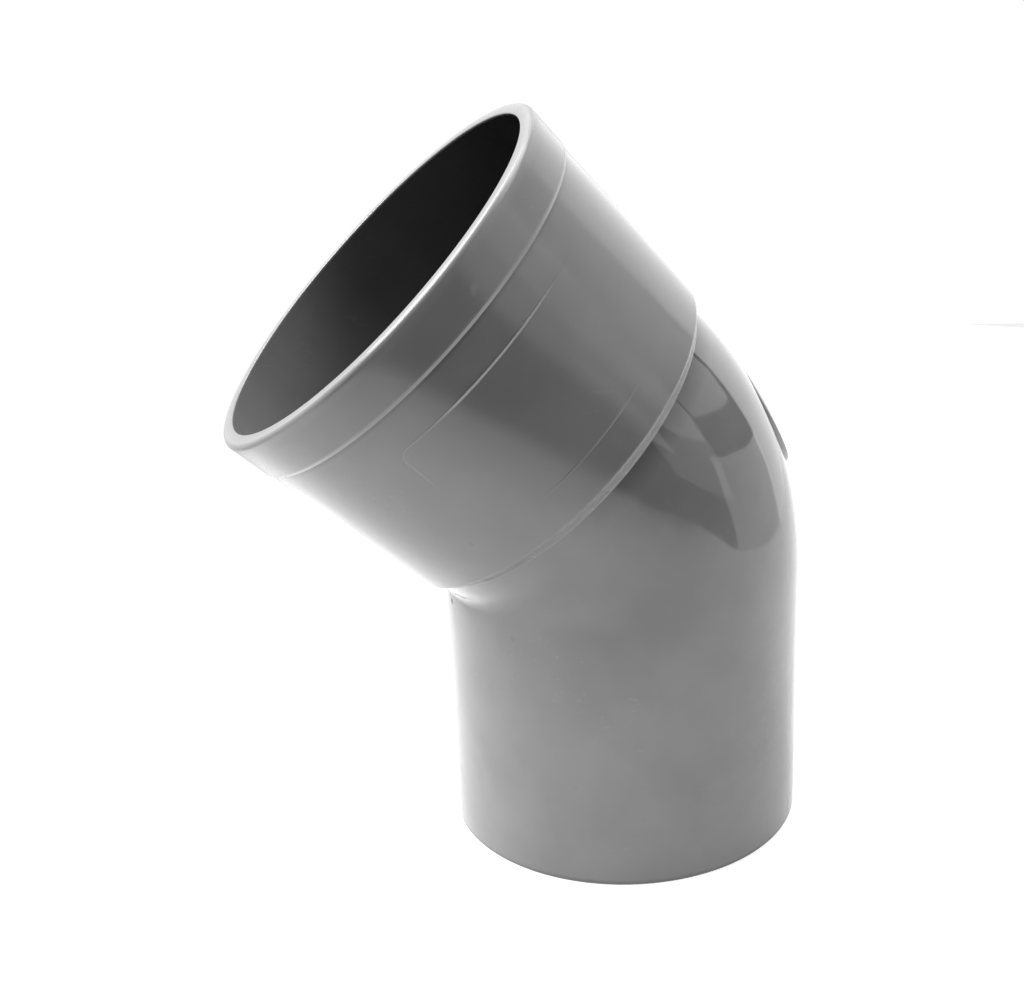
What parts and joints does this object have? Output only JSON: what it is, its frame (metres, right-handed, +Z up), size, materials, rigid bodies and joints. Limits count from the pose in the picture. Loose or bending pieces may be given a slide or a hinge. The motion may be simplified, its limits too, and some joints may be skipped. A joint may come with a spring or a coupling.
{
  "type": "pipe elbow fitting",
  "caption": "Grey PVC drainage elbow that turns a cemented pipe run through 45 degrees, with a plain socket at one end and a plain spigot at the other.",
  "frame": {"origin": "on the spigot's end face, under the middle of the fitting's bounding box", "axes": "+Z up along the spigot's axis, -X the way the socket leans, -Y the flank that carries the marking panel"},
  "size_m": [0.1532, 0.1098, 0.1954],
  "materials": {
    "socket_pvc": "moulded grey PVC-U, semi-gloss",
    "panel_pvc": "moulded grey PVC-U, semi-gloss, bare",
    "body_pvc": "moulded grey PVC-U, semi-gloss with fine scuffs",
    "pad_pvc": "moulded grey PVC-U, fine matt texture"
  },
  "bodies": {
    "root": {"mouth_ring": "socket_pvc", "socket_barrel": "socket_pvc", "marking_panel": "panel_pvc", "bend": "body_pvc", "heel_pad": "pad_pvc", "spigot": "body_pvc"}
  },
  "joints": []
}
